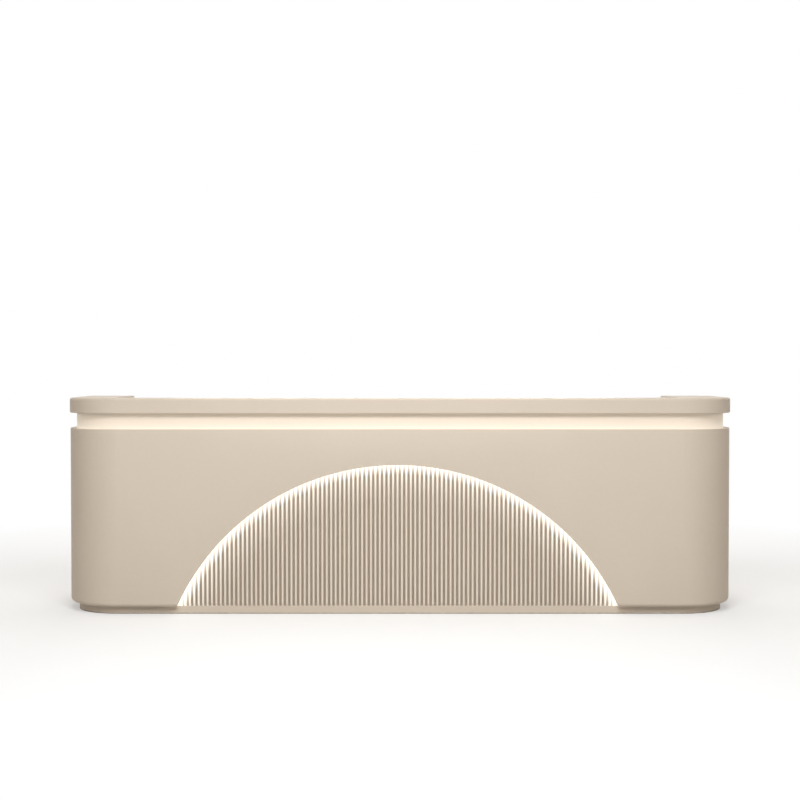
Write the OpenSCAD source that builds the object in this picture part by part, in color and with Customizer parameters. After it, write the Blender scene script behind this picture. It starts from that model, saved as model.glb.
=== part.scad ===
// Checkout counter: a long service counter with two rounded front corners, a lit neck under a thick
// top, and an arched recess of upright reeds in its front. Staff work behind it at a lower desk.
// Millimetres. X runs along the counter, customers stand at -Y, staff at +Y, +Z is up, and the
// origin is on the floor under the middle of the top's outline.

/* [Overall] */
// Length along the counter
length = 3300; // [3200:10:3400]
// Depth from the customer edge to the staff edge
depth = 700; // [690:5:720]
// Height of the counter top
height = 1050; // [1040:5:1070]
// Plan radius of the two front corners
front_r = 275; // [265:1:285]
// Plan radius of the top at the staff end of each wing
back_r = 25; // [20:1:30]

/* [Top] */
// Height of the rim round the counter top
rim_h = 74; // [70:1:80]
// Depth of the ledge in front of the desk
ledge_d = 200; // [195:1:205]
// Width of the left wing
wing_l = 235; // [230:1:250]
// Width of the right wing
wing_r = 263; // [240:1:270]
// Radius of the rim's upper edge
rim_top_r = 12; // [6:1:15]
// Radius of the rim's lower edge
rim_low_r = 5; // [2:1:8]

/* [Neck and body] */
// Height of the neck under the rim
neck_h = 76; // [70:1:80]
// Distance of the neck's face behind the rim
neck_inset = 34; // [34:0.5:36]
// Distance of the body's face behind the rim
body_inset = 3; // [2:0.5:3]
// Thickness of the lacquered body panels
skin_t = 20; // [18:1:20]
// Radius of the body's lower edge
body_low_r = 18; // [8:1:18]
// Height of the plinth
plinth_h = 39; // [36:1:45]
// Distance of the plinth's face behind the rim
plinth_inset = 43; // [43:0.5:44]

/* [Arch] */
// Radius of the arch
arch_r = 1177; // [1150:1:1180]
// Height of the arch's crown
arch_top = 728; // [700:1:730]
// Sideways shift of the arch from the middle
arch_shift = -12; // [-20:1:20]
// Spacing of the reeds
reed_pitch = 21.5; // [20:0.5:24]
// Number of reeds
reed_count = 101; // [99:2:103]
// Width of the groove between two reeds
reed_gap = 5; // [4:0.5:6]

/* [Staff side] */
// Height of the desk
desk_h = 750; // [740:5:760]
// Thickness of the desk top
desk_t = 25; // [22:1:30]
// Width of the open shelf bay
shelf_bay = 450; // [420:5:460]
// Width of the drawer bay
drawer_bay = 500; // [480:5:510]
// Width of the knee space
knee_bay = 900; // [880:5:920]
// Height of the top drawer's front
top_front_h = 200; // [180:5:240]
// Travel of a drawer, which is also its runners' length
drawer_travel = 400; // [300:10:400]
// Depth of the keyboard tray
tray_d = 300; // [280:5:300]

/* [Hidden] */
$fn = 64;

// Finishes
lacquer = [0.87, 0.81, 0.74];
raw_board = [0.72, 0.58, 0.42];
melamine = [0.90, 0.87, 0.82];
metal = [0.78, 0.79, 0.80];
zinc = [0.68, 0.69, 0.70];
opal = [1.00, 0.98, 0.93];
black = [0.12, 0.12, 0.13];

// Levels and lines of the shell
board_t = 18;
x_end = length / 2;
y_front = -depth / 2;
y_back = depth / 2;
corner_x = x_end - front_r;
corner_y = y_front + front_r;
rim_z = height - rim_h;
neck_z = rim_z - neck_h;
skin_in = body_inset + skin_t;
neck_lap = 34;
neck_low = neck_z - neck_lap;
neck_in = neck_inset + board_t;
base_z = plinth_h + board_t;
plinth_t = 16;
plinth_back = y_back - 70;
wall_y = y_front + plinth_inset + plinth_t;
top_t = 18;
play = 0.3;

// Staff space between the wings
ledge_y = y_front + ledge_d;
xl = -x_end + wing_l;
xr = x_end - wing_r;
lip = 12;
xl_in = xl - lip;
xr_in = xr + lip;
lining_y = ledge_y - lip;
fronts_inset = 32;
front_y = y_back - fronts_inset;
door_y = front_y - board_t;
desk_z = desk_h - desk_t;
desk_nose = 7;
desk_y = front_y + desk_nose;

// Bays under the desk, from the left
part_x = [
    xl_in + shelf_bay,
    xl_in + shelf_bay + board_t + drawer_bay,
    xl_in + shelf_bay + 2 * board_t + drawer_bay + knee_bay
];
drawer_x = part_x[0] + board_t + drawer_bay / 2;
knee_x = part_x[1] + board_t + knee_bay / 2;
door_x0 = part_x[2] + board_t;
gap = 2;
fronts_z = [base_z + gap, desk_z - gap];
door_w = (xr_in - door_x0 - 3 * gap) / 2;
top_front_z = fronts_z[1] - top_front_h;

// Shelves and their pins
shelf_z = 380;
pin_r = 2.5;
pin_len = 16;
pin_play = 0.05;
pin_y = [lining_y + 60, front_y - 80];

// Drawer runners
runner_t = 12.7;
runner_hh = 22.5;
runner_y = -110;
runner_len = drawer_travel;
steel_t = 1.2;
box_t = 12;
box_floor = 8;
box_hw = drawer_bay / 2 - runner_t;
tray_hw = 300;
tray_y = 0;
tray_z = 662;
tray_lip = 12;
tray_runner_z = tray_z + board_t / 2;

// Hinges: a butt hinge with a pin in front of the door's face
knuckle_r = 4.5;
hinge_pin_r = 2.5;
hinge_play = 0.05;
leaf_t = 1.5;
hinge_len = 60;
hinge_z = [130, 630];
hinge_off = 5;
hinge_y = front_y + hinge_off;
hinge_left_x = door_x0 + gap / 2;
hinge_right_x = xr_in - hinge_off;

// Pulls
pull_r = 5;
pull_len = 160;
pull_span = 128;
pull_off = 24;

// Lock of the top drawer
lock_r = 9;
lock_drop = 22;
lock_z = fronts_z[1] - lock_drop;
cam_len = 28;
cam_t = 3;
cam_hw = 7;
cam_y = door_y - 10;

// Cable grommet
grommet_off = [250, 70];
grommet = [knee_x + grommet_off.x, lining_y + grommet_off.y];
grommet_r = 30;
grommet_in = 26;
flange_r = 35;
flange_t = 2;

// Light switch
switch_y = 150;
switch_z = 850;
rocker_tilt = 4;
rocker_pin_r = 1.5;

// Lights
arch_zc = arch_top - arch_r;
gap_l = plinth_inset - skin_in;
channel_r = arch_r + 9;
channel_w = 11.6;
led_wall = 1.2;
former_r = channel_r + 12;
former_w = 42;

// Wiring
wire_z = 330;
wire_y = -235;
wire_r = 2.5;
wire_hole_r = 20;
driver_x = xr_in + board_t;
driver_size = [32, 180, 60];
driver_y = -20;
driver_z = 290;
inlet_x = x_end - 130;
inlet_z = 150;

// Points along an arc about c, from angle a0 to a1
function arc(c, r, a0, a1, n = 8) =
    [for (i = [0 : n]) let (a = a0 + (a1 - a0) * i / n) c + r * [cos(a), sin(a)]];

function toward(a) = [cos(a), sin(a)];

// A straight length of a profile that starts at p. The profile's x points to the right of the heading.
module run(p, heading, l) {
    q = p + l * toward(heading);
    translate([q.x, q.y, 0]) rotate([0, 0, heading - 90]) rotate([90, 0, 0]) linear_extrude(l) children();
}

// A left turn of radius r that starts at p.
module turn(p, heading, r) {
    c = p + r * toward(heading + 90);
    translate([c.x, c.y, 0]) rotate([0, 0, heading - 90])
        rotate_extrude(angle = 90, $fn = 96) translate([r, 0]) children();
}

// Carries a profile along steps of [length, radius of the left turn that follows].
module sweep(p, heading, steps, i = 0) {
    if (i < len(steps)) {
        l = steps[i][0];
        r = steps[i][1];
        run(p, heading, l) children();
        if (r > 0) turn(p + l * toward(heading), heading, r) children();
        sweep(p + (l + r) * toward(heading) + r * toward(heading + 90), heading + 90, steps, i + 1)
            children();
    }
}

// Carries a profile down the left side, along the front and up the right side, back to y.
module wrap(y) {
    sweep([-x_end, y], -90, [[y - corner_y, front_r], [2 * corner_x, front_r], [y - corner_y, 0]])
        children();
}

// A box between two corners.
module block(a, b) {
    translate(a) cube(b - a);
}

module both_ends() {
    children();
    mirror([1, 0, 0]) children();
}

// Lies along Y at x, z, from y0 to y1.
module rod_y(x, z, y0, y1, r) {
    translate([x, y0, z]) rotate([-90, 0, 0]) cylinder(h = y1 - y0, r = r);
}

module rod_x(y, z, x0, x1, r) {
    translate([x0, y, z]) rotate([0, 90, 0]) cylinder(h = x1 - x0, r = r);
}

module rod_z(x, y, z0, z1, r) {
    translate([x, y, z0]) cylinder(h = z1 - z0, r = r);
}

// Turns a profile about the arch's axis. The profile's x is the radius and its y is the depth.
module arch_ring(floor_z) {
    intersection() {
        translate([arch_shift, 0, arch_zc]) rotate([-90, 0, 0]) rotate_extrude($fn = 180) children();
        block([-x_end, y_front, floor_z], [x_end, y_back, height]);
    }
}

module arch_disc(r) {
    rod_y(arch_shift, arch_zc, y_front - 1, y_back, r, $fn = 360);
}

// ---- Base ----

module plinth() color(lacquer) {
    wrap(plinth_back) translate([-plinth_inset - plinth_t, 0]) square([plinth_t, plinth_h]);
    x = x_end - plinth_inset - plinth_t;
    block([-x, plinth_back - plinth_t, 0], [x, plinth_back, plinth_h]);
}

foot_pitch = 600;
foot_x = [for (i = [0 : 5]) foot_pitch * (i - 2.5)];
foot_y = [-200, 200];
foot_r = 22;
foot_h = 8;
stem_r = 5;
nut_r = 12;
nut_h = 6;

module levelling_feet() color(black)
    for (x = foot_x, y = foot_y) {
        rod_z(x, y, 0, foot_h, foot_r);
        rod_z(x, y, foot_h, base_z - 4, stem_r);
        rod_z(x, y, plinth_h - nut_h, plinth_h, nut_r);
    }

module base_board() color(melamine) {
    inset = plinth_inset + plinth_t;
    r = front_r - inset;
    difference() {
        union() {
            block([-corner_x, wall_y, plinth_h], [corner_x, front_y, base_z]);
            both_ends() {
                block([corner_x, corner_y, plinth_h], [x_end - inset, front_y, base_z]);
                translate([corner_x, corner_y, plinth_h]) rotate([0, 0, -90])
                    rotate_extrude(angle = 90) square([r, board_t]);
            }
        }
        for (x = foot_x, y = foot_y) rod_z(x, y, plinth_h - 1, base_z + 1, stem_r + 0.1);
    }
}

// ---- Body ----

// Section of a body panel, square inside and rounded along its outer lower and upper edges.
module skin_profile() {
    polygon(concat(
        [[-skin_in, neck_z], [-skin_in, plinth_h]],
        arc([-body_inset - body_low_r, plinth_h + body_low_r], body_low_r, -90, 0),
        arc([-body_inset - 3, neck_z - 3], 3, 0, 90, 4)
    ));
}

module front_panel() color(lacquer)
    difference() {
        run([-corner_x, y_front], 0, 2 * corner_x) skin_profile();
        arch_disc(arch_r);
    }

module end_shell_right() color(lacquer) {
    turn([corner_x, y_front], 0, front_r) skin_profile();
    run([x_end, corner_y], 90, y_back - body_inset - corner_y) skin_profile();
}

module end_shell_left() mirror([1, 0, 0]) end_shell_right();

// A board with half-round reeds on its face, cut to the arch.
module reeded_panel() color(lacquer) {
    face_y = wall_y - plinth_t;
    half = reed_pitch * reed_count / 2;
    intersection() {
        translate([arch_shift, 0, plinth_h]) linear_extrude(arch_top) {
            translate([-half, face_y]) square([2 * half, plinth_t]);
            for (i = [0 : reed_count - 1])
                translate([reed_pitch * (i - (reed_count - 1) / 2), face_y])
                    circle(r = (reed_pitch - reed_gap) / 2, $fn = 24);
        }
        arch_disc(arch_r + 4);
    }
}

// Curved packer between the front panel and the ribs, round the arch.
module arch_former() color(raw_board)
    arch_ring(plinth_h) translate([former_r, y_front + skin_in])
        square([former_w, wall_y - y_front - skin_in]);

module neck_band() color(lacquer) {
    y = y_back - neck_inset;
    wrap(y) translate([-neck_in, neck_low]) square([board_t, rim_z - neck_low]);
    block([xr_in + board_t, y - board_t, neck_low], [x_end - neck_in, y, rim_z]);
    block([-x_end + neck_in, y - board_t, neck_low], [xl_in - board_t, y, rim_z]);
}

// ---- Lights ----

neck_led_z = neck_z - 28;
neck_led_x = [-neck_inset + 0.4, -skin_in - 0.4];

// Aluminium channels: one behind the body's top edge, one behind the arch's edge.
module led_channels() color(metal) {
    w = neck_led_x[1] - neck_led_x[0];
    wrap(y_back - neck_inset - 10) translate([neck_led_x[0], neck_led_z]) difference() {
        square([w, 18]);
        translate([led_wall, led_wall]) square([w - 2 * led_wall, 18]);
    }
    y0 = y_front + skin_in + 1;
    arch_ring(plinth_h + 6) translate([channel_r, y0]) difference() {
        square([channel_w, gap_l - 3]);
        translate([-1, led_wall]) square([channel_w - led_wall + 1, gap_l - 3 - 2 * led_wall]);
    }
}

module led_diffusers() color(opal) {
    w = neck_led_x[1] - neck_led_x[0];
    wrap(y_back - neck_inset - 10) translate([neck_led_x[0] + led_wall, neck_led_z + 15])
        square([w - 2 * led_wall, 2.5]);
    y0 = y_front + skin_in + 1 + led_wall;
    arch_ring(plinth_h + 6) translate([channel_r + 0.5, y0]) square([2.5, gap_l - 3 - 2 * led_wall]);
}

// ---- Top ----

// Section of the top's skin, w wide, with its outer upper edge rounded.
module top_profile(w) {
    polygon(concat(
        [[-w, height], [-w, height - top_t], [0, height - top_t]],
        arc([-rim_top_r, height - rim_top_r], rim_top_r, 0, 90)
    ));
}

module staff_space() {
    block([xl, ledge_y, rim_z - 1], [xr, y_back + 1, height + 1]);
}

module counter_top() color(lacquer)
    difference() {
        union() {
            run([-corner_x, y_front], 0, 2 * corner_x) top_profile(front_r);
            both_ends() {
                turn([corner_x, y_front], 0, front_r) top_profile(front_r);
                run([x_end, corner_y], 90, y_back - back_r - corner_y) top_profile(front_r);
                turn([x_end, y_back - back_r], 90, back_r) top_profile(back_r);
                run([x_end - back_r, y_back], 180, front_r - back_r) top_profile(back_r);
            }
        }
        staff_space();
    }

// Section of the band below the top's skin.
module band_profile() {
    polygon(concat(
        [[0, height - top_t], [-top_t, height - top_t], [-top_t, rim_z]],
        arc([-rim_low_r, rim_z + rim_low_r], rim_low_r, -90, 0, 5)
    ));
}

module top_edge_band() color(lacquer) {
    side = y_back - back_r - corner_y;
    sweep([xl, y_back], 180, [
        [wing_l - back_r, back_r], [side, front_r], [2 * corner_x, front_r], [side, back_r],
        [wing_r - back_r, 0]
    ]) band_profile();
    inner = y_back - top_t - ledge_y;
    run([xl, ledge_y], 90, inner) band_profile();
    run([xr, y_back - top_t], -90, inner) band_profile();
    run([xr + top_t, ledge_y], 180, xr - xl + 2 * top_t) band_profile();
}

// Board that closes the top from below.
module top_substrate() color(melamine) {
    e = top_t + play;
    r = front_r - e;
    difference() {
        union() {
            block([-corner_x, y_front + e, rim_z], [corner_x, corner_y, rim_z + board_t]);
            both_ends() {
                translate([corner_x, corner_y, rim_z]) rotate([0, 0, -90])
                    rotate_extrude(angle = 90) square([r, board_t]);
                block([corner_x, corner_y, rim_z], [x_end - e, y_back - back_r, rim_z + board_t]);
                block([corner_x, corner_y, rim_z], [x_end - back_r, y_back - e, rim_z + board_t]);
                rod_z(x_end - back_r, y_back - back_r, rim_z, rim_z + board_t, back_r - e);
            }
        }
        block([xl - e, ledge_y - e, rim_z - 1], [xr + e, y_back, height]);
    }
}

// Packing strips between the substrate and the skin.
module top_battens() color(raw_board) {
    z = [rim_z + board_t, height - top_t];
    w = 40;
    for (y = [y_front + w, ledge_y - w - 30]) block([-corner_x, y, z[0]], [corner_x, y + w, z[1]]);
    for (x = [-x_end + w, xl - w - 30, xr + 30, x_end - 2 * w])
        block([x, corner_y + 20, z[0]], [x + w, y_back - 50, z[1]]);
}

// ---- Inner structure ----

rib_pitch = 353.5;
rib_x = [for (i = [-3 : 3]) rib_pitch * i];

// Upright boards between the front and the lining, notched for the neck and bored for leads.
module wall_ribs() color(raw_board) {
    neck_y = y_front + neck_in;
    back = lining_y - board_t;
    difference() {
        for (x = rib_x)
            translate([x - board_t / 2, 0, 0]) rotate([90, 0, 90]) linear_extrude(board_t)
                polygon([
                    [wall_y, base_z], [back, base_z], [back, rim_z], [neck_y, rim_z],
                    [neck_y, neck_low], [wall_y, neck_low]
                ]);
        rod_x(wire_y, wire_z, -x_end, x_end, wire_hole_r);
    }
}

batten_w = 36;
screw_in = batten_w / 2;
screw_x = [
    -x_end + skin_in + screw_in, xl_in - board_t - screw_in,
    xr_in + board_t + screw_in, x_end - skin_in - screw_in
];
screw_z = [100, 470, 840];
screw_r = 2.2;
screw_bore_r = screw_r + 0.05;
screw_len = 40;
head_r = 4.2;

// Battens that the body panels are fixed to.
module wall_battens() color(raw_board) {
    y0 = y_front + skin_in;
    x1 = x_end - skin_in;
    y1 = y_back - skin_in;
    end_x = corner_x - 5;
    crown_z = arch_zc + former_r + former_w + 4;
    block([-end_x, y0, crown_z], [end_x, wall_y, neck_low]);
    both_ends() {
        block([end_x - 70, y0, base_z], [end_x, wall_y, crown_z - 0.5]);
        for (y = [-60, 130]) block([x1 - batten_w, y, base_z], [x1, y + 40, neck_low]);
    }
    difference() {
        for (x = screw_x)
            block([x - screw_in, y1 - batten_w, base_z], [x + screw_in, y1, neck_low]);
        for (x = screw_x, z = screw_z) rod_y(x, z, y_back - screw_len - 23, y_back, screw_bore_r);
    }
}

former_in = 85;

// Bent corners are glued round these.
module corner_formers() color(raw_board)
    both_ends() for (z = [base_z, (base_z + neck_low) / 2, neck_low - board_t])
        turn([corner_x, y_front], 0, front_r)
            translate([-former_in, z]) square([former_in - skin_in - play, board_t]);

module inner_lining() color(lacquer)
    block([xl_in, lining_y - board_t, base_z], [xr_in, lining_y, rim_z]);

// Inner side of a wing, from its face at x outward for one board.
module wing_panel(x) {
    y0 = lining_y - board_t;
    y1 = y_back - body_inset;
    translate([x, 0, 0]) rotate([90, 0, 90]) linear_extrude(board_t) polygon([
        [y0, base_z], [front_y + play, base_z], [front_y + play, plinth_h], [y1, plinth_h],
        [y1, neck_z], [y_back - neck_inset, neck_z], [y_back - neck_inset, rim_z], [y0, rim_z]
    ]);
}

module pin_holes(x) {
    reach = pin_len / 2 + 0.5;
    for (y = pin_y) rod_x(y, shelf_z - pin_r, x - reach, x + reach, pin_r + pin_play);
}

module wing_panel_left() color(lacquer)
    difference() {
        wing_panel(xl_in - board_t);
        pin_holes(xl_in);
    }

module wing_panel_right() color(lacquer)
    difference() {
        wing_panel(xr_in);
        pin_holes(xr_in);
    }

// Panel across the staff end of a wing, held by screws.
module end_panel(x0, x1, xs) {
    y1 = y_back - body_inset;
    difference() {
        block([x0, y1 - skin_t, plinth_h], [x1, y1, neck_z]);
        for (x = xs, z = screw_z) {
            rod_y(x, z, y1 - skin_t - 1, y1 + 1, screw_bore_r);
            translate([x, y1, z]) rotate([90, 0, 0]) cylinder(h = 2.5, r1 = head_r + 0.4, r2 = screw_bore_r);
        }
    }
}

module end_panel_left() color(lacquer)
    end_panel(-x_end + skin_in, xl_in - board_t, [screw_x[0], screw_x[1]]);

module end_panel_right() color(lacquer)
    difference() {
        end_panel(xr_in + board_t, x_end - skin_in, [screw_x[2], screw_x[3]]);
        block([inlet_x - 24, y_back - 40, inlet_z - 14], [inlet_x + 24, y_back, inlet_z + 14]);
    }

module panel_screws() color(zinc)
    for (x = screw_x, z = screw_z) {
        y1 = y_back - body_inset;
        rod_y(x, z, y1 - screw_len, y1 - 1, screw_r);
        translate([x, y1 - 0.3, z]) rotate([90, 0, 0]) cylinder(h = 2.2, r1 = head_r, r2 = screw_r);
    }

// ---- Desk and carcass ----

// Room for the cam as it swings up behind the desk's edge
lock_slot = [40, 9, 7];

module desk_top() color(melamine)
    difference() {
        run([xr_in, desk_y], 180, xr_in - xl_in) polygon(concat(
            [[-(desk_y - lining_y), desk_h], [-(desk_y - lining_y), desk_z], [0, desk_z]],
            arc([-5, desk_h - 5], 5, 0, 90, 5)
        ));
        rod_z(grommet.x, grommet.y, desk_z - 1, desk_h + 1, grommet_r);
        rod_z(grommet.x, grommet.y, desk_h - flange_t, desk_h + 1, flange_r + 0.1);
        translate([drawer_x - lock_slot.x / 2, cam_y - 2, desk_z - 1]) cube(lock_slot + [0, 0, 1]);
    }

module partitions() color(melamine)
    difference() {
        for (x = part_x) block([x, lining_y, base_z], [x + board_t, front_y, desk_z]);
        pin_holes(part_x[0]);
        pin_holes(door_x0);
    }

module shelf(x0, x1) {
    block([x0 + 1, lining_y + 1, shelf_z], [x1 - 1, front_y - 28, shelf_z + board_t]);
}

module shelf_left() color(melamine) shelf(xl_in, part_x[0]);
module shelf_right() color(melamine) shelf(door_x0, xr_in);

module shelf_pins() color(metal)
    for (x = [xl_in, part_x[0], door_x0, xr_in], y = pin_y)
        rod_x(y, shelf_z - pin_r, x - pin_len / 2, x + pin_len / 2, pin_r);

// ---- Runners ----

// Sections of a three-part runner. x grows from the fixed side to the moving side.
module outer_section() difference() {
    translate([0, -runner_hh]) square([10.5, 2 * runner_hh]);
    translate([steel_t, steel_t - runner_hh]) square([10.5, 2 * (runner_hh - steel_t)]);
}

module mid_section() {
    hh = runner_hh - steel_t - 0.4;
    difference() {
        translate([3, -hh]) square([6.8, 2 * hh]);
        translate([3 + steel_t, steel_t - hh]) square([6.8, 2 * (hh - steel_t)]);
    }
}

module inner_section() {
    hh = runner_hh - 2 * steel_t - 0.8;
    difference() {
        translate([5.4, -hh]) square([runner_t - 5.4, 2 * hh]);
        translate([4, steel_t - hh]) square([runner_t - steel_t - 4, 2 * (hh - steel_t)]);
    }
}

// A pair of runner members on both sides of a space of half-width hw about x.
module runner_pair(x, hw, y, l, z)
    for (s = [0, 1])
        translate([x, 0, z]) mirror([s, 0, 0]) translate([-hw, y + l, 0]) rotate([90, 0, 0])
            linear_extrude(l) children();

low_box_z = fronts_z[0] + 15;
top_box_z = top_front_z + 15;
box_runner_z = 50;
bay_hw = drawer_bay / 2;
tray_bay_hw = tray_hw + runner_t;

module drawer_runners(z)
    runner_pair(drawer_x, bay_hw, runner_y, runner_len, z + box_runner_z) children();

module tray_runners()
    runner_pair(knee_x, tray_bay_hw, tray_y, tray_d, tray_runner_z) children();

module runners_fixed() color(zinc) {
    for (z = [low_box_z, top_box_z]) drawer_runners(z) outer_section();
    tray_runners() outer_section();
}

module runner_mid_top() color(zinc) drawer_runners(top_box_z) mid_section();
module runner_inner_top() color(zinc) drawer_runners(top_box_z) inner_section();
module runner_mid_low() color(zinc) drawer_runners(low_box_z) mid_section();
module runner_inner_low() color(zinc) drawer_runners(low_box_z) inner_section();

module tray_runner_mid() color(zinc) tray_runners() mid_section();
module tray_runner_inner() color(zinc) tray_runners() inner_section();

// Boards under the desk that carry the tray's runners.
module tray_hangers() color(melamine) {
    low = tray_z - 22;
    for (s = [-1, 1])
        translate([knee_x + s * (tray_bay_hw + board_t / 2) - board_t / 2, tray_y - 20, low])
            cube([board_t, tray_d + 20, desk_z - low]);
}

// ---- Drawers ----

// An open box from z0 to z1 behind the front.
module drawer_box(z0, z1)
    difference() {
        block([drawer_x - box_hw, runner_y, z0], [drawer_x + box_hw, door_y, z1]);
        block([drawer_x - box_hw + box_t, runner_y + box_t, z0 + box_floor],
            [drawer_x + box_hw - box_t, door_y - box_t, z1 + 1]);
    }

module drawer_front(z0, z1)
    block([drawer_x - bay_hw + gap, door_y, z0], [drawer_x + bay_hw - gap, front_y, z1]);

// A round bar on two posts, along X about the origin of the front's face.
module pull() {
    rod_x(pull_off, 0, -pull_len / 2, pull_len / 2, pull_r);
    for (s = [-1, 1]) rod_y(s * pull_span / 2, 0, 0, pull_off, 4);
}

module drawer_box_top() color(melamine) drawer_box(top_box_z, lock_z - lock_r - 12);
module drawer_box_low() color(melamine) drawer_box(low_box_z, top_front_z - 30);

module drawer_front_top() color(lacquer)
    difference() {
        drawer_front(top_front_z, fronts_z[1]);
        rod_y(drawer_x, lock_z, door_y - 1, front_y + 1, lock_r + 0.05);
    }
module drawer_front_low() color(lacquer) drawer_front(fronts_z[0], top_front_z - gap);

module drawer_pull_top() color(metal) translate([drawer_x, front_y, top_front_z + 100]) pull();
module drawer_pull_low() color(metal) translate([drawer_x, front_y, top_front_z - 60]) pull();

// Lock cylinder with its cam lying sideways, below the slot in the desk.
module drawer_lock() color(metal) {
    difference() {
        union() {
            rod_y(drawer_x, lock_z, cam_y + cam_t, front_y, lock_r);
            rod_y(drawer_x, lock_z, front_y, front_y + 2, lock_r + 2);
        }
        block([drawer_x - 0.6, front_y - 6, lock_z - 4], [drawer_x + 0.6, front_y + 3, lock_z + 4]);
    }
    block([drawer_x - cam_hw, cam_y, lock_z - cam_hw], [drawer_x + cam_len, cam_y + cam_t, lock_z + cam_hw]);
}

// ---- Keyboard tray ----

module keyboard_tray() color(melamine) {
    block([knee_x - tray_hw, tray_y, tray_z], [knee_x + tray_hw, tray_y + tray_d, tray_z + board_t]);
    block([knee_x - tray_hw, tray_y, tray_z + board_t],
        [knee_x + tray_hw, tray_y + tray_lip, tray_z + board_t + tray_lip]);
}

// ---- Doors ----

module door(x) block([x, door_y, fronts_z[0]], [x + door_w, front_y, fronts_z[1]]);

module door_left() color(lacquer) door(door_x0 + gap);
module door_right() color(lacquer) door(xr_in - gap - door_w);

door_pull_z = 560;
module door_pull_left() color(metal)
    translate([door_x0 + gap + door_w - 40, front_y, door_pull_z]) rotate([0, 90, 0]) pull();
module door_pull_right() color(metal)
    translate([xr_in - gap - door_w + 40, front_y, door_pull_z]) rotate([0, 90, 0]) pull();

// Knuckles of a hinge at x: the outer pair, or the middle one.
module knuckles(x, z, spans)
    for (s = spans) rod_z(x, hinge_y, z + s[0], z + s[1], knuckle_r);

third = hinge_len / 3;
outer_spans = [[0, third - 0.2], [2 * third + 0.2, hinge_len]];
mid_spans = [[third + 0.2, 2 * third - 0.2]];

module pin_bore(x, z) rod_z(x, hinge_y, z - 1, z + hinge_len + 1, hinge_pin_r + hinge_play);

// Leaf on the door's face: side is 1 for a door that lies to the right of its pin.
module door_leaf(x, z, side)
    difference() {
        union() {
            knuckles(x, z, mid_spans);
            translate([x, front_y, z]) mirror([side < 0 ? 1 : 0, 0, 0]) {
                translate([3.8, 0, 0]) cube([26, leaf_t, hinge_len]);
                translate([0, 0, third + 0.2]) cube([8, leaf_t, third - 0.4]);
            }
        }
        pin_bore(x, z);
    }

module door_leaves_left() color(metal) for (z = hinge_z) door_leaf(hinge_left_x, z, 1);
module door_leaves_right() color(metal) for (z = hinge_z) door_leaf(hinge_right_x, z, -1);

// Fixed leaves: on the partition's edge at the left door, on the wing's face at the right one.
module hinge_leaves() color(metal) for (z = hinge_z) {
    difference() {
        union() {
            knuckles(hinge_left_x, z, outer_spans);
            translate([hinge_left_x - board_t, front_y, z]) cube([board_t - 3.8, leaf_t, hinge_len]);
            for (s = outer_spans)
                translate([hinge_left_x - 8, front_y, z + s[0]]) cube([8, leaf_t, s[1] - s[0]]);
        }
        pin_bore(hinge_left_x, z);
    }
    difference() {
        union() {
            knuckles(hinge_right_x, z, outer_spans);
            translate([xr_in - leaf_t, hinge_y + 3.8, z]) cube([leaf_t, 17, hinge_len]);
            for (s = outer_spans)
                translate([xr_in - leaf_t, hinge_y, z + s[0]]) cube([leaf_t, 6, s[1] - s[0]]);
        }
        pin_bore(hinge_right_x, z);
    }
}

module hinge_pins() color(zinc)
    for (x = [hinge_left_x, hinge_right_x], z = hinge_z)
        rod_z(x, hinge_y, z - 1, z + hinge_len + 1, hinge_pin_r);

// ---- Fittings ----

cap_t = 3;

// Sleeve in the desk's hole, its flange let into the desk's face.
module grommet_ring() color(black)
    translate([grommet.x, grommet.y, 0]) difference() {
        union() {
            rod_z(0, 0, desk_z + 3, desk_h - flange_t, grommet_r - 0.1);
            rod_z(0, 0, desk_h - flange_t, desk_h, flange_r);
        }
        rod_z(0, 0, desk_z, desk_h + 1, grommet_in - 2);
        rod_z(0, 0, desk_h - cap_t - 0.5, desk_h + 1, grommet_in);
    }

module grommet_cap() color(black)
    translate([grommet.x, grommet.y, 0]) difference() {
        rod_z(0, 0, desk_h - cap_t - 0.5, desk_h - 0.5, grommet_in - 0.05);
        block([-9, 8, desk_z], [9, grommet_in + 1, desk_h]);
    }

plate_t = 10;
plate_hw = 43;
rocker_x = xr_in - plate_t + 3;
rocker_size = [5, 28, 48];
rocker_well = [rocker_size.y / 2 + 1, rocker_size.z / 2 + 1.5];

module switch_plate() color(opal)
    difference() {
        block([xr_in - plate_t, switch_y - plate_hw, switch_z - plate_hw],
            [xr_in, switch_y + plate_hw, switch_z + plate_hw]);
        block([xr_in - plate_t - 1, switch_y - rocker_well.x, switch_z - rocker_well.y],
            [xr_in - 2, switch_y + rocker_well.x, switch_z + rocker_well.y]);
        rod_y(rocker_x, switch_z, switch_y - 18, switch_y + 18, rocker_pin_r + 0.05);
    }

// Rocker on its pins, pressed at the top.
module rocker() color(opal)
    translate([rocker_x, switch_y, switch_z]) {
        rotate([0, -rocker_tilt, 0]) translate(-rocker_size / 2) cube(rocker_size);
        rod_y(0, 0, -17.5, 17.5, rocker_pin_r);
    }

module led_driver() color(metal)
    translate([driver_x, driver_y, driver_z]) {
        cube(driver_size);
        for (y = [-15, driver_size.y]) translate([0, y, 0]) cube([2, 15, driver_size.z]);
    }

// A lead along the points in turn, with a round elbow at each turn.
module lead(points) {
    for (i = [0 : len(points) - 2]) {
        a = points[i];
        d = points[i + 1] - a;
        if (d.x != 0) rod_x(a.y, a.z, min(a.x, a.x + d.x), max(a.x, a.x + d.x), wire_r);
        if (d.y != 0) rod_y(a.x, a.z, min(a.y, a.y + d.y), max(a.y, a.y + d.y), wire_r);
        if (d.z != 0) rod_z(a.x, a.y, min(a.z, a.z + d.z), max(a.z, a.z + d.z), wire_r);
        if (i > 0) translate(a) sphere(wire_r);
    }
}

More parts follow.
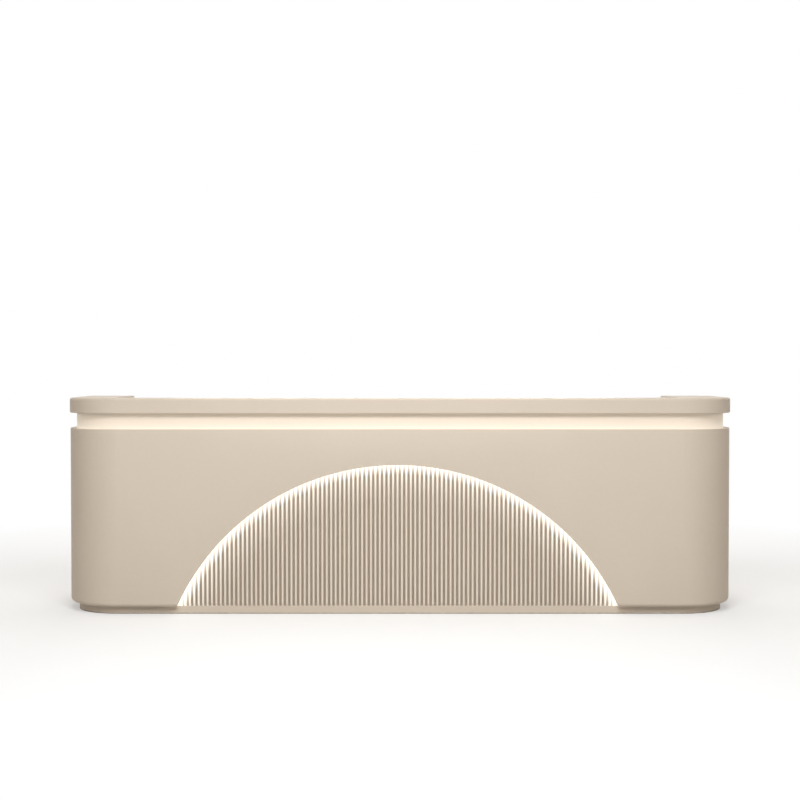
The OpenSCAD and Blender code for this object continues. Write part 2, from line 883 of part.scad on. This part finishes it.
// Leads to the neck light, to the arch light and from the inlet.
module led_leads() color(black) {
    neck_x = x_end - (skin_in + neck_inset) / 2;
    mid_x = driver_x + driver_size.x / 2;
    lead_y = 60;
    lead_z = neck_low - 10;
    mains_y = 210;
    mains_z = 310;
    arch_foot = arch_shift + sqrt(pow(former_r + former_w / 2, 2) - pow(wire_z - arch_zc, 2));
    lead([
        [mid_x, lead_y, driver_z + driver_size.z], [mid_x, lead_y, lead_z],
        [neck_x, lead_y, lead_z], [neck_x, lead_y, neck_led_z]
    ]);
    lead([
        [mid_x, driver_y, wire_z], [mid_x, wire_y, wire_z],
        [arch_foot, wire_y, wire_z], [arch_foot, wall_y, wire_z]
    ]);
    lead([
        [mid_x, driver_y + driver_size.y, mains_z], [mid_x, mains_y, mains_z],
        [inlet_x, mains_y, mains_z], [inlet_x, mains_y, inlet_z], [inlet_x, y_back - 35, inlet_z]
    ]);
}

// Socket in the right end panel that a mains lead plugs into.
module power_inlet() color(black) {
    y1 = y_back - body_inset;
    difference() {
        union() {
            block([inlet_x - 29, y1, inlet_z - 20], [inlet_x + 29, y_back, inlet_z + 20]);
            block([inlet_x - 23.5, y1 - 32, inlet_z - 13.5], [inlet_x + 23.5, y1, inlet_z + 13.5]);
        }
        block([inlet_x - 12, y1 - 16, inlet_z - 8], [inlet_x + 12, y_back + 1, inlet_z + 8]);
    }
    for (p = [[-7, -2], [0, 2], [7, -2]])
        translate([inlet_x + p.x - 1, y1 - 17, inlet_z + p.y - 2]) cube([2, 14, 4]);
}

plinth();
levelling_feet();
base_board();
front_panel();
end_shell_left();
end_shell_right();
reeded_panel();
arch_former();
led_channels();
led_diffusers();
neck_band();
counter_top();
top_edge_band();
top_substrate();
top_battens();
wall_ribs();
wall_battens();
corner_formers();
inner_lining();
wing_panel_left();
wing_panel_right();
end_panel_left();
end_panel_right();
panel_screws();
desk_top();
partitions();
shelf_left();
shelf_right();
shelf_pins();
runners_fixed();
tray_hangers();
hinge_leaves();
hinge_pins();
grommet_ring();
switch_plate();
led_driver();
led_leads();
power_inlet();
drawer_box_top();
drawer_front_top();
drawer_pull_top();
runner_mid_top();
runner_inner_top();
drawer_box_low();
drawer_front_low();
drawer_pull_low();
runner_mid_low();
runner_inner_low();
keyboard_tray();
tray_runner_mid();
tray_runner_inner();
door_left();
door_leaves_left();
door_pull_left();
door_right();
door_leaves_right();
door_pull_right();
drawer_lock();
grommet_cap();
rocker();
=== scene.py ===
from math import pi, radians, sqrt
import bpy
from mathutils import Matrix, Vector


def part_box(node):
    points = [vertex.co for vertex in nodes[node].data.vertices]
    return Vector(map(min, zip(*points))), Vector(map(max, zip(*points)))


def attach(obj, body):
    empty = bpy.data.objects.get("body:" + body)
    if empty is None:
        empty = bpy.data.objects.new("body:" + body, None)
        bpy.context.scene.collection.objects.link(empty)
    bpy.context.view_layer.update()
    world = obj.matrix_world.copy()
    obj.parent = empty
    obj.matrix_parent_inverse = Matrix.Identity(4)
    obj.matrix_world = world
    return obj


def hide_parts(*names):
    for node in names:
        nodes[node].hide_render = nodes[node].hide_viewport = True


# A long checkout counter. Its customer side is one lacquered shell with rounded corners, a lit neck
# under a thick top and an arched recess of upright reeds. Staff work behind it at a lower desk with
# drawers, doors and a keyboard tray. The sections follow the order in which it is put together.
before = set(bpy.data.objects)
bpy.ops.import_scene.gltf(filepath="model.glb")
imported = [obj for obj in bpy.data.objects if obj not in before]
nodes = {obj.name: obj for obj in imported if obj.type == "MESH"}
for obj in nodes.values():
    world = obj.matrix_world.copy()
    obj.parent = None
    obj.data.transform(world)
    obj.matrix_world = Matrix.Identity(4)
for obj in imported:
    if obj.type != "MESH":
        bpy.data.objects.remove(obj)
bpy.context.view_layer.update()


# ---- Plinth ----
# A strip of lacquered board, kerfed and bent round the two front corners, set back from the body.
# It is sprayed in the same satin beige as the body, with the faint mottle of a rolled surface.

class Signal:
    """A socket of a graph. Arithmetic on it adds Math nodes."""

    def __init__(self, graph, end):
        self.graph = graph
        self.end = end

    def maths(self, operation, first, second=0.0):
        return self.graph.node("Math", {"operation": operation}, {0: first, 1: second})

    def __add__(self, other):
        return self.maths("ADD", self, other)

    def __sub__(self, other):
        return self.maths("SUBTRACT", self, other)

    def __rsub__(self, other):
        return self.maths("SUBTRACT", other, self)

    def __mul__(self, other):
        return self.maths("MULTIPLY", self, other)

    def __truediv__(self, other):
        return self.maths("DIVIDE", self, other)

    def __pow__(self, other):
        return self.maths("POWER", self, other)

    __radd__ = __add__
    __rmul__ = __mul__

    def held(self):
        """The value kept between 0 and 1."""
        return self.graph.node("Clamp", {}, {"Value": self})


class Graph:
    """The nodes of a finish or of the room."""

    def __init__(self, tree):
        self.tree = tree

    def feed(self, socket, value):
        if isinstance(value, Signal):
            self.tree.links.new(value.end, socket)
        else:
            socket.default_value = value

    def node(self, kind, settings, sockets, output=0):
        """A node of this kind: its settings first, then the values or links of its sockets."""
        new = self.tree.nodes.new("ShaderNode" + kind)
        for name, value in settings.items():
            setattr(new, name, value)
        for name, value in sockets.items():
            self.feed(new.inputs[name], value)
        return Signal(self, new.outputs[output])

    def picture_ray(self):
        """1 for a ray that ends in the picture, straight or by way of a shiny or clear face, else 0."""
        kinds = ("Is Camera Ray", "Is Glossy Ray", "Is Transmission Ray")
        straight, shiny, clear = [self.node("LightPath", {}, {}, kind) for kind in kinds]
        return (straight + shiny + clear).held()


class Finish(Graph):
    """A material and the nodes that make its look."""

    def __init__(self, name, **constants):
        self.material = bpy.data.materials.new(name)
        self.material.use_nodes = True
        super().__init__(self.material.node_tree)
        self.shader = self.tree.nodes["Principled BSDF"]
        for socket, value in constants.items():
            self.shader.inputs[socket.replace("_", " ")].default_value = value

    def place(self, scale=(1, 1, 1)):
        """Object coordinates in metres, stretched by scale."""
        here = self.node("TexCoord", {}, {}, "Object")
        return self.node("Mapping", {}, {"Vector": here, "Scale": scale})

    def along(self, axis):
        """One object coordinate, in metres."""
        return self.node("SeparateXYZ", {}, {"Vector": self.place()}, axis)

    def wave(self, angle):
        return self.node("Math", {"operation": "COSINE"}, {0: angle})

    def noise(self, scale, detail=2.0, stretch=(1, 1, 1)):
        sockets = {"Vector": self.place(stretch), "Scale": scale, "Detail": detail}
        return self.node("TexNoise", {}, sockets)

    def blend(self, amount, first, second):
        """A colour between the two, by amount."""
        return self.node("Mix", {"data_type": "RGBA"}, {0: amount, 6: first, 7: second}, 2)

    def relief(self, height, depth, strength=1.0):
        """Gives the surface a bump of this depth in metres."""
        bump = self.node("Bump", {}, {"Height": height, "Distance": depth, "Strength": strength}, "Normal")
        self.feed(self.shader.inputs["Normal"], bump)


def lacquer_finish(name):
    """Satin beige lacquer: a faint mottle, a fine orange peel and a few soft rubbed patches."""
    deep = (0.694, 0.590, 0.482, 1)
    pale = (0.742, 0.640, 0.531, 1)
    finish = Finish(name, Specular_IOR_Level=0.18)
    mottle = finish.noise(2.3, 3.0) * 0.6 + finish.noise(60, 2.0) * 0.4
    finish.colour = finish.blend(mottle.held(), deep, pale)
    finish.feed(finish.shader.inputs["Base Color"], finish.colour)
    finish.feed(finish.shader.inputs["Roughness"], 0.40 + 0.16 * finish.noise(7, 3.0))
    finish.relief(finish.noise(420, 1.5), 0.00012, 0.35)
    return finish


def dress(material, *names):
    """Gives CAD nodes their finish."""
    for name in names:
        nodes[name].material_slots[0].material = material


lacquer = lacquer_finish("satin_lacquer").material
# Painted shade: the plinth's lowest few millimetres along the floor are painted darker, a painted contact
# shadow broken up by noise.
contact_shade_h = 0.007
plinth_shade = lacquer_finish("plinth_lacquer_painted_shadow")
unshaded = (plinth_shade.along("Z") / contact_shade_h + plinth_shade.noise(40, 3.0) * 0.6 - 0.3).held()
plinth_shaded_colour = plinth_shade.blend(unshaded, (0.26, 0.22, 0.18, 1), plinth_shade.colour)
plinth_shade.feed(plinth_shade.shader.inputs["Base Color"], plinth_shaded_colour)
dress(plinth_shade.material, "plinth")


# ---- Levelling feet ----
# Twelve moulded black feet on threaded stems, screwed up through the base board from below, so that
# the long plinth can be set level on an uneven floor.

def moulded_finish(name, deep, pale, rough, grain, depth):
    """A moulded plastic whose fine spark-eroded grain shows as a light speckle."""
    finish = Finish(name)
    speckle = finish.node("TexVoronoi", {}, {"Vector": finish.place(), "Scale": grain})
    cloud = finish.noise(9, 2.0)
    finish.feed(finish.shader.inputs["Base Color"], finish.blend(cloud.held(), deep, pale))
    finish.feed(finish.shader.inputs["Roughness"], rough + 0.12 * speckle)
    finish.relief(speckle, depth, 0.5)
    return finish.material


black_plastic = moulded_finish(
    "black_plastic", (0.014, 0.014, 0.015, 1), (0.028, 0.028, 0.029, 1), 0.42, 900, 0.0001
)
dress(black_plastic, "levelling_feet")


# ---- Base board ----
# The floor of the carcass: chipboard faced on both sides with a warm off-white melamine, its corners
# cut to follow the plinth below.

def melamine_finish(name):
    """Melamine face: a fine pearl print under a hard satin film."""
    deep = (0.735, 0.685, 0.610, 1)
    pale = (0.800, 0.755, 0.690, 1)
    finish = Finish(name)
    print_marks = finish.noise(160, 3.0, (1, 1, 1)) * 0.5 + finish.noise(14, 2.0, (0.25, 1, 1)) * 0.5
    finish.feed(finish.shader.inputs["Base Color"], finish.blend(print_marks.held(), deep, pale))
    finish.feed(finish.shader.inputs["Roughness"], 0.36 + 0.14 * finish.noise(240, 1.0))
    finish.relief(finish.noise(700, 2.0), 0.00008, 0.4)
    return finish.material


melamine = melamine_finish("melamine")
dress(melamine, "base_board")


# ---- Ribs, battens and formers ----
# Unfinished softwood and plywood inside the shell: upright ribs between front and lining, battens
# behind the panels, curved packers round the arch and corners. They are glued and pinned together.

def raw_board_finish(name):
    """Bare softwood: growth rings drawn out along the grain, with a rough sawn surface."""
    finish = Finish(name)
    rings = finish.noise(34, 4.0, (1, 1, 0.08))
    pores = finish.noise(600, 2.0, (1, 1, 0.05))
    grain = (rings * 1.5 - 0.35 + pores * 0.2).held()
    finish.feed(
        finish.shader.inputs["Base Color"],
        finish.blend(grain, (0.35, 0.22, 0.115, 1), (0.60, 0.43, 0.26, 1)),
    )
    finish.feed(finish.shader.inputs["Roughness"], 0.66 + 0.2 * pores)
    finish.relief(rings + pores, 0.0004, 0.5)
    return finish.material


raw_board = raw_board_finish("raw_board")
dress(raw_board, "wall_ribs", "wall_battens", "corner_formers", "arch_former", "top_battens")


# ---- Body shell ----
# Lacquered board: a flat front panel with the arch routed out of it, and an end shell at each side
# bent round the corner. The joints are filled and sanded, so the sprayed face runs unbroken.

arch_r = 1.177
panel_lap = 0.004
board_low, board_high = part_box("reeded_panel")
arch_x = (board_low.x + board_high.x) / 2
arch_z = board_high.z - arch_r - panel_lap
body_low, body_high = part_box("front_panel")
low_edge_r = 0.018
top_edge_r = 0.003
arch_edge_r = 0.0025
arch_facets = 360
cutter_depth = 0.2
upright = (0, 0, 0)
along_x = (0, pi / 2, 0)
along_y = (pi / 2, 0, 0)


def start():
    """Leaves nothing selected, so that the next operator acts on the new piece alone."""
    bpy.ops.object.select_all(action="DESELECT")


def focus(piece):
    """Leaves this piece alone selected and active."""
    start()
    piece.select_set(True)
    bpy.context.view_layer.objects.active = piece


def cuboid(name, low, high):
    start()
    bpy.ops.mesh.primitive_cube_add(size=1, location=(low + high) / 2, scale=high - low)
    bpy.ops.object.transform_apply(location=True, rotation=True, scale=True)
    bpy.context.object.name = name
    return bpy.context.object


def rod(middle, radius, length, turn, vertices):
    """A cylinder about its middle, turned from upright."""
    start()
    bpy.ops.mesh.primitive_cylinder_add(
        vertices=vertices, radius=radius, depth=length, rotation=turn, location=middle
    )
    bpy.ops.object.transform_apply(location=True, rotation=True, scale=True)
    return bpy.context.object


def slice_off(point, normal, **side):
    """Cuts the active piece at a plane, removes one side and closes the cut."""
    bpy.ops.object.mode_set(mode="EDIT")
    bpy.ops.mesh.select_all(action="SELECT")
    bpy.ops.mesh.bisect(plane_co=point, plane_no=normal, use_fill=True, **side)
    bpy.ops.object.mode_set(mode="OBJECT")


def join(piece, others):
    """Makes the others part of the piece."""
    focus(piece)
    for other in others:
        other.select_set(True)
    bpy.ops.object.join()


def pick_edges(piece, wanted):
    """Enters edit mode with only the edges selected whose two ends are both wanted."""
    bpy.ops.object.mode_set(mode="EDIT")
    bpy.ops.mesh.select_mode(type="EDGE")
    bpy.ops.mesh.select_all(action="DESELECT")
    bpy.ops.object.mode_set(mode="OBJECT")
    points = piece.data.vertices
    for edge in piece.data.edges:
        edge.select = all(wanted(points[i].co) for i in edge.vertices)
    bpy.ops.object.mode_set(mode="EDIT")


def round_edges(piece, wanted, radius, segments):
    pick_edges(piece, wanted)
    bpy.ops.mesh.bevel(offset=radius, segments=segments, affect="EDGES")
    bpy.ops.object.mode_set(mode="OBJECT")


def smooth(piece, degrees):
    focus(piece)
    bpy.ops.object.shade_smooth_by_angle(angle=radians(degrees))


def cut(piece, cutter):
    """Takes the cutter's shape out of the piece."""
    focus(piece)
    boolean = piece.modifiers.new("cut", "BOOLEAN")
    boolean.object = cutter
    boolean.operation = "DIFFERENCE"
    boolean.solver = "EXACT"
    bpy.ops.object.modifier_apply(modifier="cut")
    bpy.data.objects.remove(cutter)


def settle(piece, material, body, slot, *stands_for):
    """Finishes a modelled piece: its material, the body it rides on and the CAD nodes it stands for."""
    piece.data.materials.clear()
    piece.data.materials.append(material)
    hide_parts(*stands_for)
    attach(piece, body)


def near(a, b, slack=1e-4):
    return abs(a - b) < slack


front_board = cuboid("front_board", body_low, body_high)
round_edges(front_board, lambda p: near(p.y, body_low.y) and near(p.z, body_low.z), low_edge_r, 8)
round_edges(front_board, lambda p: near(p.y, body_low.y) and near(p.z, body_high.z), top_edge_r, 4)
cut(front_board, rod((arch_x, body_low.y, arch_z), arch_r, cutter_depth, along_y, arch_facets))


def on_arch_face(point):
    reach = sqrt((point.x - arch_x) ** 2 + (point.z - arch_z) ** 2)
    return near(reach, arch_r, 0.0003) and point.y < body_high.y - 0.001


round_edges(front_board, on_arch_face, arch_edge_r, 3)
smooth(front_board, 30)
settle(front_board, lacquer, "cabinet", "lacquer", "front_panel")
dress(lacquer, "end_shell_left", "end_shell_right")


# ---- Reeded panel ----
# A board with half-round reeds planted side by side on its face, cut to the arch and fixed behind the
# front panel. Each reed's foot is rounded over. The light from the arch's edge that rakes the reeds' faces
# comes partly from the real light strip and is partly painted on as a glow; the grooves are painted darker
# as shade.

reed_pitch = 0.0215
reed_r = 0.00825
reed_count = 99
reed_facets = 24
foot_gap = 0.0065
reed_foot = board_low.z + foot_gap
foot_round = 0.007
board_face = board_low.y + reed_r

reed = rod((0, 0, 0.5), reed_r, 1, upright, reed_facets)
slice_off((0, 0, 0), (0, 1, 0), clear_outer=True)
round_edges(reed, lambda p: near(p.z, 0) and p.y < 0.0001, foot_round, 4)


def arch_height(x):
    """Height of the board's arched edge at x from the arch's middle."""
    return arch_z + sqrt(max((arch_r + panel_lap) ** 2 - x ** 2, 0))


reeds = []
for i in range(reed_count):
    middle = reed_pitch * (i - (reed_count - 1) / 2)
    if arch_height(abs(middle) + reed_r) < reed_foot + 2 * foot_round:
        continue
    one = reed.copy()
    one.data = reed.data.copy()
    for point in one.data.vertices:
        if point.co.z > 0.5:
            point.co.z = arch_height(middle + point.co.x)
        else:
            point.co.z += reed_foot
        point.co.x += arch_x + middle
        point.co.y += board_face
    bpy.context.scene.collection.objects.link(one)
    reeds.append(one)
bpy.data.objects.remove(reed)

board_middle = (arch_x, (board_high.y + board_face) / 2, arch_z)
reed_board = rod(board_middle, arch_r + panel_lap, board_high.y - board_face, along_y, arch_facets)
reed_board.name = "reed_board"
slice_off(board_low, (0, 0, 1), clear_inner=True)
join(reed_board, reeds)
smooth(reed_board, 35)

# Painted light: an emission glow on the reeds' crests, strongest at the arch's edge and fading inwards,
# with a brighter painted rim along the edge.
light_reach = 0.21
rim_reach = 0.05
reed_lacquer_painted_light = lacquer_finish("reed_lacquer_painted_light")
across = reed_lacquer_painted_light.along("X") - arch_x
upward = reed_lacquer_painted_light.along("Z") - arch_z
from_edge = arch_r - (across * across + upward * upward) ** 0.5
glow_fade = (1 - from_edge / light_reach).held() ** 2.0
rim_light = (1 - from_edge / rim_reach).held() ** 1.3
crest = (reed_lacquer_painted_light.wave(across * (2 * pi / reed_pitch)) * 0.5 + 0.5) ** 1.6
lit = (crest * (glow_fade * 0.75 + 0.20) + rim_light * 0.9).held()
glow = reed_lacquer_painted_light.blend(lit, (0, 0, 0, 1), (1.0, 0.98, 0.92, 1))
reed_lacquer_painted_light.feed(reed_lacquer_painted_light.shader.inputs["Emission Color"], glow)
reed_lacquer_painted_light.feed(reed_lacquer_painted_light.shader.inputs["Emission Strength"], 0.95)
# Painted shade: the grooves between the reeds are darker in base colour.
groove_shade = reed_lacquer_painted_light.blend(crest, (0.42, 0.34, 0.26, 1), reed_lacquer_painted_light.colour)
reed_lacquer_painted_light.feed(reed_lacquer_painted_light.shader.inputs["Base Color"], groove_shade)
settle(reed_board, reed_lacquer_painted_light.material, "cabinet", "lacquer", "reeded_panel")


# ---- Lights ----
# Anodised aluminium channels, one behind the body's top edge and one behind the arch's edge. An opal
# cover snaps into each and hides the light strip, whose diodes show as a faint row of brighter spots.

def drawn_metal_finish(name, colour, bright, rough, stretch):
    """A metal with fine drawing lines along its length and a cloudy sheen."""
    finish = Finish(name, Metallic=1.0)
    lines = finish.noise(320, 3.0, stretch)
    cloud = finish.noise(12, 2.0)
    finish.feed(finish.shader.inputs["Base Color"], finish.blend(cloud.held(), colour, bright))
    finish.feed(finish.shader.inputs["Roughness"], rough + 0.22 * lines)
    finish.relief(lines, 0.00004, 0.4)
    return finish.material


anodised = drawn_metal_finish("anodised", (0.52, 0.52, 0.51, 1), (0.63, 0.63, 0.62, 1), 0.22, (0.06, 1, 1))
opal = Finish("opal_cover", Roughness=0.45, Emission_Strength=0.65)
diode_pitch = 0.010
diode_turn = 2 * pi / diode_pitch
spots = opal.wave(opal.along("X") * diode_turn) * opal.wave(opal.along("Z") * diode_turn)
opal.feed(
    opal.shader.inputs["Base Color"],
    opal.blend(opal.noise(30), (0.86, 0.85, 0.81, 1), (0.90, 0.89, 0.85, 1)),
)
opal.feed(
    opal.shader.inputs["Emission Color"],
    opal.blend((spots * 0.5 + 0.5).held(), (0.96, 0.93, 0.85, 1), (1.0, 0.98, 0.93, 1)),
)
dress(anodised, "led_channels")
dress(opal.material, "led_diffusers")


# ---- Neck ----
# The recessed band between body and top, lacquered like them. The light behind the body's top edge
# washes up it, partly real and partly painted on as a glow: nearly white at the foot, falling to a warm
# beige under the rim, where painted shade darkens it further.

neck_low, neck_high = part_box("neck_band")
neck_foot = body_high.z
wash_h = neck_high.z - neck_foot
neck = lacquer_finish("neck_lacquer_painted_wash")
# Painted light: the emission below is a painted glow graded up the band, with painted shade just under the
# rim.
rise = ((neck.along("Z") - neck_foot) / wash_h).held()
wash = (1 - rise) ** 1.7
rim_shade = ((1 - rise) / 0.18).held() * 0.6 + 0.4
warmth = neck.blend(rise, (1.0, 0.97, 0.88, 1), (0.80, 0.70, 0.56, 1))
washed = neck.blend(wash, (0.50, 0.46, 0.39, 1), warmth)
neck.feed(neck.shader.inputs["Emission Color"], neck.blend(rim_shade, (0, 0, 0, 1), washed))
neck.feed(neck.shader.inputs["Emission Strength"], 0.42)
dress(neck.material, "neck_band")


# ---- Counter top ----
# Two layers of board with packing strips between them, wrapped by a bent edge band. The top layer's
# outer edge is rounded over, and the whole is sprayed as one piece.

dress(lacquer, "counter_top", "top_edge_band")
dress(melamine, "top_substrate")


# ---- Lining and wing panels ----
# Lacquered boards that close the shell on the staff side: the lining behind the ledge, the wings'
# inner faces and the end panels, which are screwed on so that the wiring can be reached.

def zinc_finish(name):
    """Bright zinc plate with a fine spangle and slight dulling."""
    finish = Finish(name, Metallic=1.0)
    spangle = finish.node("TexVoronoi", {}, {"Vector": finish.place(), "Scale": 260}, "Color")
    grey = finish.node("RGBToBW", {}, {"Color": spangle})
    finish.feed(
        finish.shader.inputs["Base Color"], finish.blend(grey, (0.50, 0.51, 0.53, 1), (0.64, 0.65, 0.66, 1))
    )
    finish.feed(finish.shader.inputs["Roughness"], 0.26 + 0.18 * finish.noise(22, 3.0))
    finish.relief(grey, 0.00003, 0.4)
    return finish.material


zinc = zinc_finish("bright_zinc")
dress(lacquer, "inner_lining", "wing_panel_left", "wing_panel_right", "end_panel_left", "end_panel_right")
dress(zinc, "panel_screws")


# ---- Desk and carcass ----
# The staff desk, the partitions that carry it and two loose shelves, all melamine board. The shelves
# rest on zinc pins pushed into bored holes.

dress(melamine, "desk_top", "partitions", "shelf_left", "shelf_right")
dress(zinc, "shelf_pins")


# ---- Runners and hangers ----
# Three-part ball runners in bright zinc for the drawers and the keyboard tray. The tray's fixed
# members are screwed to two boards that hang under the desk.

dress(zinc, "runners_fixed", "runner_mid_top", "runner_inner_top", "runner_mid_low", "runner_inner_low")
dress(zinc, "tray_runner_mid", "tray_runner_inner")
dress(melamine, "tray_hangers")


# ---- Drawers ----
# Two melamine boxes with lacquered fronts, their edges eased before spraying. Each is pulled by an
# anodised bar on two posts, screwed through the front from inside.

front_edge_r = 0.0015
lock_bore_r = 0.00925
bore_facets = 48
overshoot = 0.01


def eased_front(node):
    """A lacquered front in the node's place, with every edge eased."""
    low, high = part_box(node)
    front = cuboid(node + "_board", low, high)
    round_edges(front, lambda p: True, front_edge_r, 3)
    return front


def rod_y(x, z, y0, y1, radius):
    """A rod along Y from y0 to y1."""
    return rod((x, (y0 + y1) / 2, z), radius, y1 - y0, along_y, bore_facets)


dress(melamine, "drawer_box_top", "drawer_box_low")
lock_low, lock_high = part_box("drawer_lock")
lock_z = (lock_low.z + lock_high.z) / 2
top_front = eased_front("drawer_front_top")
front_low, front_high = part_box("drawer_front_top")
lock_x = (front_low.x + front_high.x) / 2
bore = rod_y(lock_x, lock_z, front_low.y - overshoot, front_high.y + overshoot, lock_bore_r)
cut(top_front, bore)
smooth(top_front, 40)
settle(top_front, lacquer, "top_drawer", "lacquer", "drawer_front_top")
low_front = eased_front("drawer_front_low")
smooth(low_front, 40)
settle(low_front, lacquer, "low_drawer", "lacquer", "drawer_front_low")

# One pull, along X, its bar's middle at the origin: a bar with domed ends on two waisted posts.
pull_low, pull_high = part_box("drawer_pull_top")
bar_r = (pull_high.z - pull_low.z) / 2
pull_len = pull_high.x - pull_low.x
post_len = pull_high.y - pull_low.y - bar_r
post_x = 0.064
post_r = 0.004
post_waist = 0.8
bar_facets = 32
dome_share = 0.45

bar = rod((0, 0, 0), bar_r, pull_len, along_x, bar_facets)
round_edges(bar, lambda p: near(abs(p.x), pull_len / 2), bar_r * dome_share, 4)
posts = []
for side in (-1, 1):
    post = rod_y(side * post_x, 0, -post_len, 0, post_r)
    waist = Vector((side * post_x, -post_len / 2, 0))
    bpy.ops.object.mode_set(mode="EDIT")
    bpy.ops.mesh.select_all(action="SELECT")
    bpy.ops.mesh.bisect(plane_co=waist, plane_no=(0, 1, 0))
    bpy.ops.transform.resize(value=(post_waist, 1, post_waist), center_override=waist)
    bpy.ops.object.mode_set(mode="OBJECT")
    posts.append(post)
join(bar, posts)
smooth(bar, 40)


def place_pull(node, body, turn):
    """A copy of the pull in the node's place, turned about Y."""
    low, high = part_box(node)
    pull = bar.copy()
    pull.data = bar.data.copy()
    pull.name = node + "_bar"
    middle = Vector(((low.x + high.x) / 2, high.y - bar_r, (low.z + high.z) / 2))
    pull.data.transform(Matrix.Translation(middle) @ Matrix.Rotation(turn, 4, "Y"))
    bpy.context.scene.collection.objects.link(pull)
    settle(pull, anodised, body, "anodised", node)


place_pull("drawer_pull_top", "top_drawer", 0)
place_pull("drawer_pull_low", "low_drawer", 0)


# ---- Drawer lock ----
# A nickel-plated cylinder lock in the top drawer's front. Its cam turns up behind the desk's edge.

nickel = drawn_metal_finish("satin_nickel", (0.60, 0.57, 0.52, 1), (0.70, 0.67, 0.62, 1), 0.16, (1, 0.3, 1))
dress(nickel, "drawer_lock")


# ---- Keyboard tray ----
# A melamine board with a lip along its back edge, on runners under the desk.

dress(melamine, "keyboard_tray")


# ---- Cupboard doors ----
# Two lacquered doors on butt hinges, with the same bar pull set upright at each meeting edge.

for side in ("left", "right"):
    door = eased_front("door_" + side)
    smooth(door, 40)
    settle(door, lacquer, side + "_door", "lacquer", "door_" + side)
    place_pull("door_pull_" + side, side + "_door", pi / 2)
    dress(zinc, "door_leaves_" + side)
bpy.data.objects.remove(bar)
dress(zinc, "hinge_leaves", "hinge_pins")


# ---- Cable grommet ----
# A moulded black sleeve let into the desk, with a cap that turns to close its slot.

dress(black_plastic, "grommet_ring", "grommet_cap")


# ---- Light switch ----
# A white moulded rocker on its pins in a plate on the right wing's inner face.

white_plastic = moulded_finish(
    "white_plastic", (0.74, 0.73, 0.69, 1), (0.79, 0.78, 0.74, 1), 0.22, 1300, 0.00003
)
dress(white_plastic, "switch_plate", "rocker")


# ---- Light driver and wiring ----
# The lights' driver in a grey-white moulded case inside the right wing, its rubber-sheathed leads,
# and the inlet in the end panel that a mains lead plugs into.

driver_case = moulded_finish(
    "driver_case", (0.52, 0.52, 0.50, 1), (0.58, 0.58, 0.56, 1), 0.40, 700, 0.0001
)
lead_sheath = moulded_finish(
    "lead_sheath", (0.018, 0.018, 0.019, 1), (0.034, 0.034, 0.035, 1), 0.52, 1500, 0.00005
)
dress(driver_case, "led_driver")
dress(lead_sheath, "led_leads")
dress(black_plastic, "power_inlet")


# ---- Floor, lights and camera ----
# A plain pale floor under soft studio light: a large lamp in front, a weak one at each side, one
# overhead and one behind, in a pale room.

floor_half = 40
room_level = 0.27
room_tint = (1.0, 0.91, 0.80, 1)
floor_lift = 0.36
near_floor = 2.4
far_floor = 4.5

start()
bpy.ops.mesh.primitive_plane_add(size=2 * floor_half)
floor = bpy.context.object
floor.name = "floor"
paving = Finish("pale_floor", Roughness=0.75)
paving.feed(
    paving.shader.inputs["Base Color"],
    paving.blend(paving.noise(0.6, 2.0), (0.66, 0.66, 0.66, 1), (0.68, 0.68, 0.68, 1)),
)
seen = paving.picture_ray()
lift = paving.node("Emission", {}, {"Color": (1, 1, 1, 1), "Strength": seen * floor_lift})
close = paving.node("AddShader", {}, {0: Signal(paving, paving.shader.outputs[0]), 1: lift})
white = paving.node("Emission", {}, {"Color": (1, 1, 1, 1), "Strength": 1.0})
away = (paving.along("X") * paving.along("X") + paving.along("Y") * paving.along("Y")) ** 0.5
faded = ((away - near_floor) / (far_floor - near_floor)).held()
paved = paving.node("MixShader", {}, {0: faded * seen, 1: close, 2: white})
paving.feed(paving.tree.nodes["Material Output"].inputs["Surface"], paved)
floor.data.materials.append(paving.material)

world = bpy.data.worlds.new("pale_room")
world.use_nodes = True
bpy.context.scene.world = world
air = Graph(world.node_tree)
room = air.tree.nodes["Background"]
air.feed(room.inputs["Color"], room_tint)
air.feed(room.inputs["Strength"], room_level)
backdrop = air.node("Background", {}, {"Color": (1, 1, 1, 1), "Strength": 1})
either = air.node("MixShader", {}, {0: air.picture_ray(), 1: Signal(air, room.outputs[0]), 2: backdrop})
air.feed(air.tree.nodes["World Output"].inputs["Surface"], either)


def lamp(name, place, aim, size, power, tint):
    data = bpy.data.lights.new(name, "AREA")
    data.shape = "RECTANGLE"
    data.size, data.size_y = size
    data.energy = power
    data.color = tint
    thing = bpy.data.objects.new(name, data)
    thing.location = place
    thing.rotation_euler = (Vector(aim) - Vector(place)).to_track_quat("-Z", "Y").to_euler()
    bpy.context.scene.collection.objects.link(thing)


lamp("front_lamp", (0, -3.6, 3.2), (0, -0.3, 0.9), (2.6, 1.4), 130, (0.93, 0.97, 1.0))
for side in (-1, 1):
    lamp("side_lamp", (side * 5.2, -1.8, 2.6), (side * 1.5, 0, 0.8), (2.0, 1.4), 11, (1.0, 0.86, 0.68))
lamp("top_lamp", (0, 0.8, 4.6), (0, 0.2, 0), (4.0, 2.4), 24, (1.0, 0.99, 0.97))
lamp("back_lamp", (0, 5.0, 2.8), (0, 0.2, 0.6), (4.0, 1.6), 110, (1.0, 0.99, 0.97))

view_down = radians(1.30)
camera_data = bpy.data.cameras.new("camera")
camera_data.lens = 62.68
camera_data.sensor_width = 36
camera = bpy.data.objects.new("camera", camera_data)
camera.location = (0.0, -7.066, 1.195)
camera.rotation_euler = (pi / 2 - view_down, 0, 0)
bpy.context.scene.collection.objects.link(camera)
bpy.context.scene.camera = camera
bpy.context.scene.view_settings.view_transform = "Standard"
